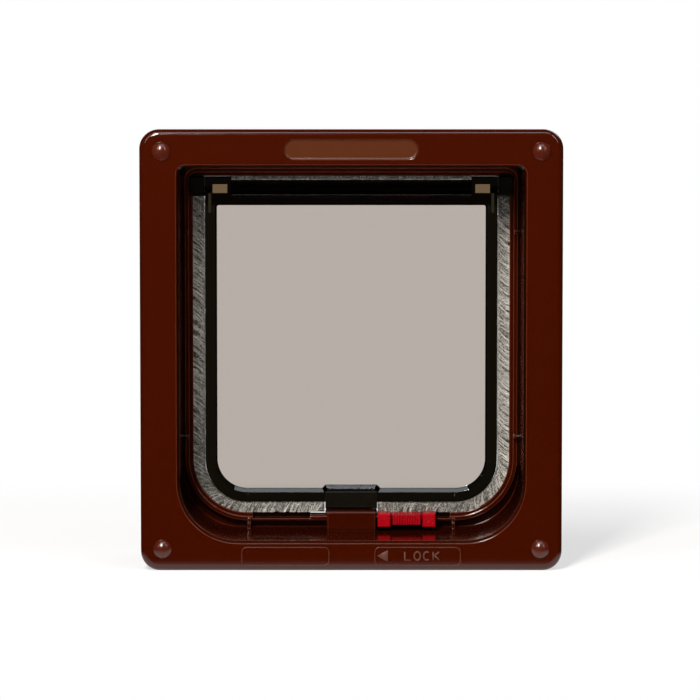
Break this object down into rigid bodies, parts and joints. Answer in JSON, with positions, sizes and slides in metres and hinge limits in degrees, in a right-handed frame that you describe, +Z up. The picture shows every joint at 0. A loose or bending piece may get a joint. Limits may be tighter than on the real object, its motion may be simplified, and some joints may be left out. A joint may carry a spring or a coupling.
{
  "type": "cat flap",
  "caption": "Square pet door that telescopes through a door: two flanged frames, a clear swinging flap with brush seals and magnets, and a sliding lock.",
  "frame": {"origin": "under the middle of the two frames' lower edges, half way through the depth", "axes": "+X to the right seen from the room, +Y away from the room through the door, +Z up"},
  "size_m": [0.198, 0.0689, 0.2072],
  "materials": {
    "brown_plastic": "moulded gloss",
    "smoked_clear_plastic": "clear, smoked brown",
    "dark_plastic": "moulded gloss",
    "magnet": "ground ferrite",
    "pin_steel": "bright drawn",
    "grey_pile": "dense brush pile",
    "red_plastic": "moulded satin gloss",
    "screw_steel": "zinc plated"
  },
  "bodies": {
    "frame": {"interior_frame": "brown_plastic", "exterior_frame": "brown_plastic", "frame_magnet": "magnet", "magnet_housing": "brown_plastic", "hinge_block_left": "dark_plastic", "hinge_block_right": "dark_plastic", "seal_strip_left": "grey_pile", "seal_strip_right": "grey_pile", "seal_strip_top": "grey_pile", "screw_cap_1": "brown_plastic", "screw_cap_2": "brown_plastic", "screw_cap_3": "brown_plastic", "screw_cap_4": "brown_plastic", "clamp_screws": "screw_steel"},
    "flap": {"flap_panel": "smoked_clear_plastic", "flap_magnet_holder": "dark_plastic", "flap_magnet": "magnet", "hinge_pin_left": "pin_steel", "hinge_pin_right": "pin_steel"},
    "slide": {"lock_slider": "red_plastic"}
  },
  "joints": [
    {"name": "flap_swing", "type": "hinge", "parent": "frame", "child": "flap", "pos_m": [0, 0.02, 0.1772], "axis": [1, 0, 0], "range_deg": [-80, 80]},
    {"name": "lock_slide", "type": "slide", "parent": "frame", "child": "slide", "axis": [1, 0, 0], "range_m": [0, 0.0066]}
  ]
}
